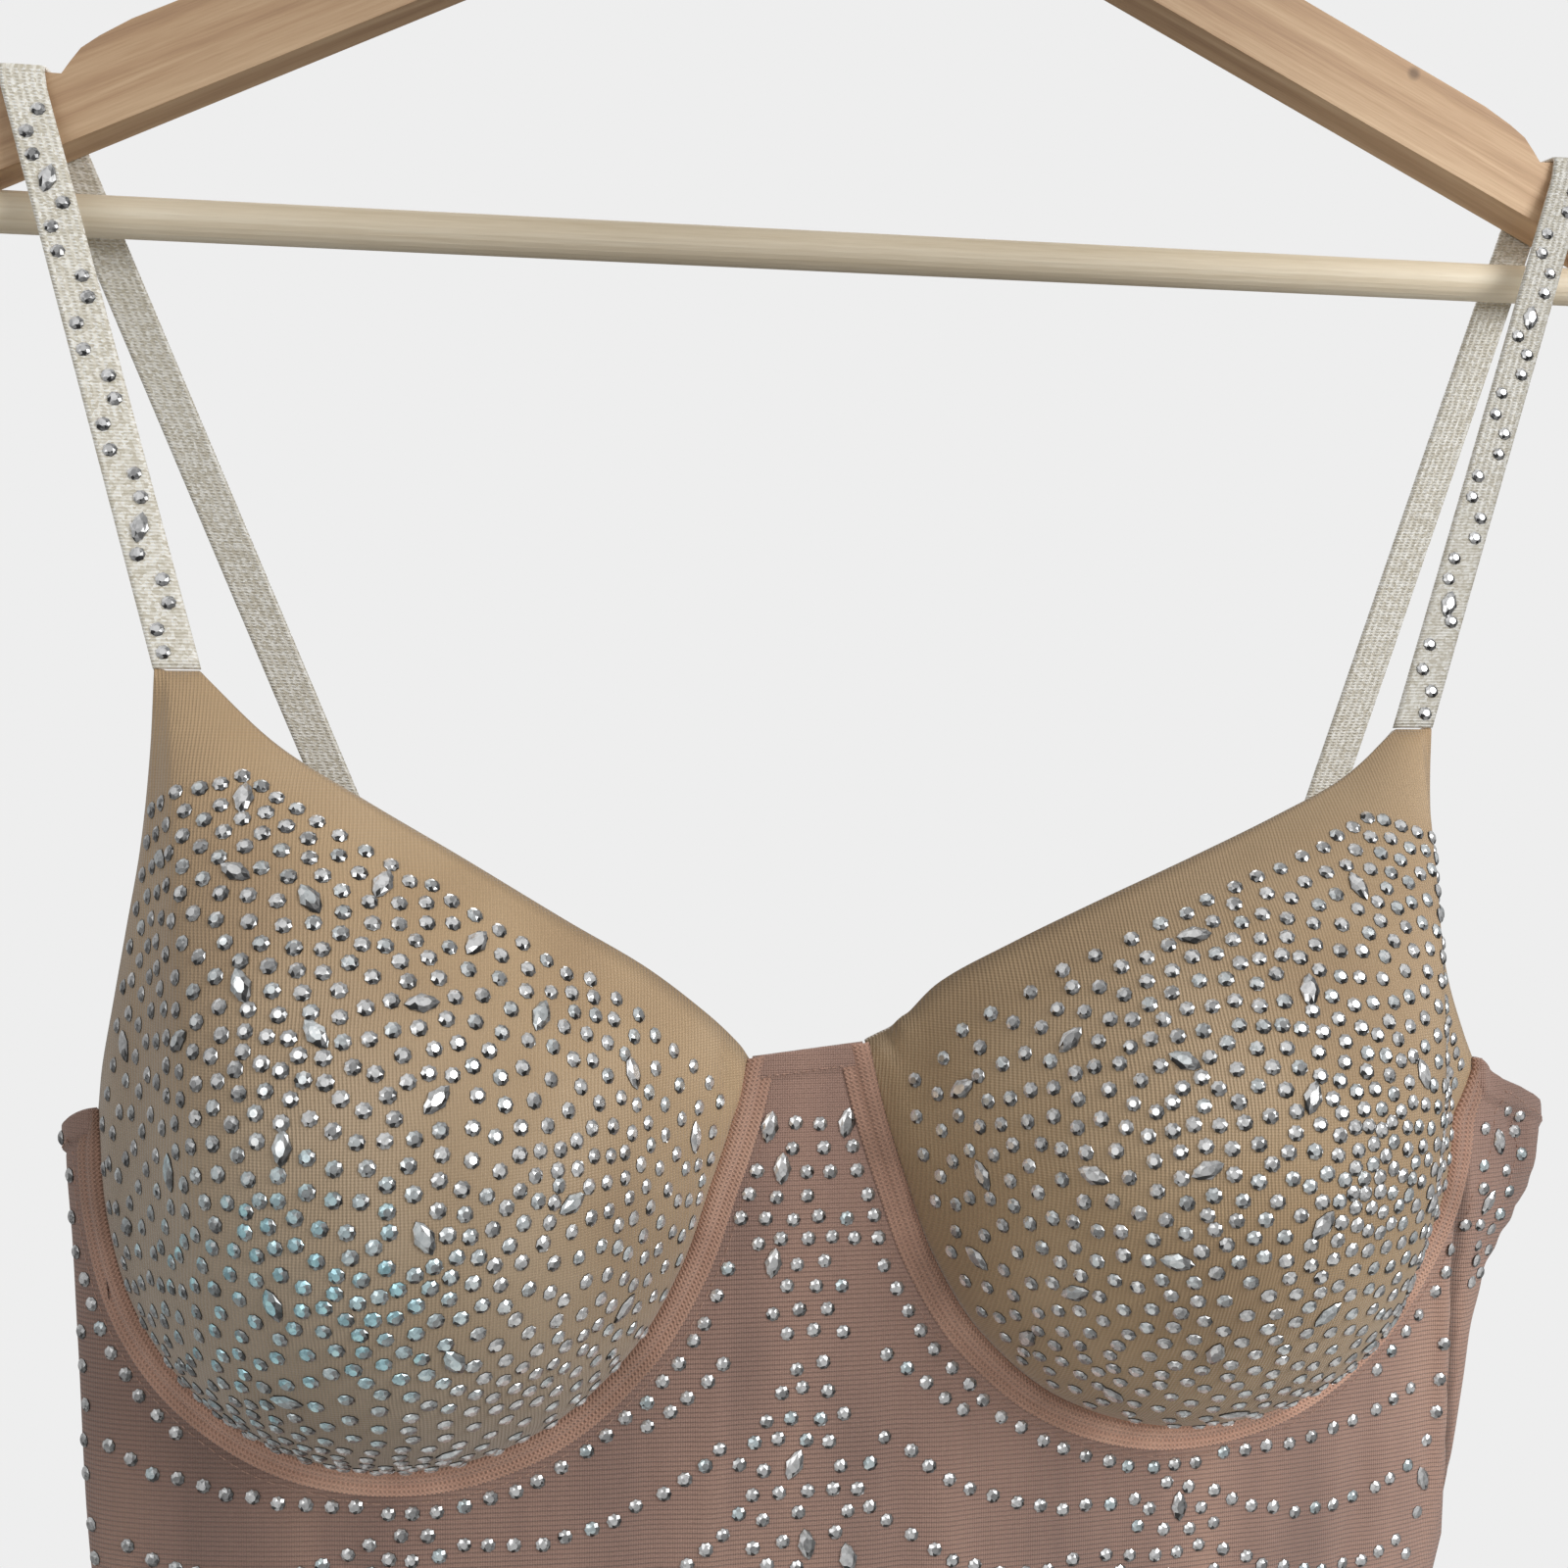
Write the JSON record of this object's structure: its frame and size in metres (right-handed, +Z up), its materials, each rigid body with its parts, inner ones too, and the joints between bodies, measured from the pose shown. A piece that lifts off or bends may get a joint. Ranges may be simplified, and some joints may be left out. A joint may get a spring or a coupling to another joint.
{
  "type": "mermaid gown on a wooden hanger",
  "caption": "Sleeveless mermaid gown with moulded padded cups, thin straps and a flared hem, hanging flat on a wooden hanger with a bar.",
  "frame": {"origin": "inner top of the hanger's hook, where a rail carries it", "axes": "+Z up along the gown's length, +Y from the front of the gown to its back, +X to the right seen from the front"},
  "size_m": [0.67, 0.1584, 1.624],
  "materials": {
    "yoke_wood": "sanded pale beech, clear matt lacquer",
    "bar_wood": "turned pale dowel, unlacquered",
    "hook_steel": "bright plated wire",
    "body_mesh": "mauve-nude stretch mesh, lined",
    "cup_knit": "tan stretch satin knit over moulded foam",
    "casing_tape": "ribbed mauve-peach channel tape",
    "strap_elastic": "cream and silver woven elastic"
  },
  "bodies": {
    "root": {"hanger_yoke": "yoke_wood", "hanger_bar": "bar_wood", "hanger_hook": "hook_steel", "front_panel": "body_mesh", "back_panel": "body_mesh", "cup_left": "cup_knit", "cup_right": "cup_knit", "casing_left": "casing_tape", "casing_right": "casing_tape", "strap_left": "strap_elastic", "strap_right": "strap_elastic"}
  },
  "joints": []
}
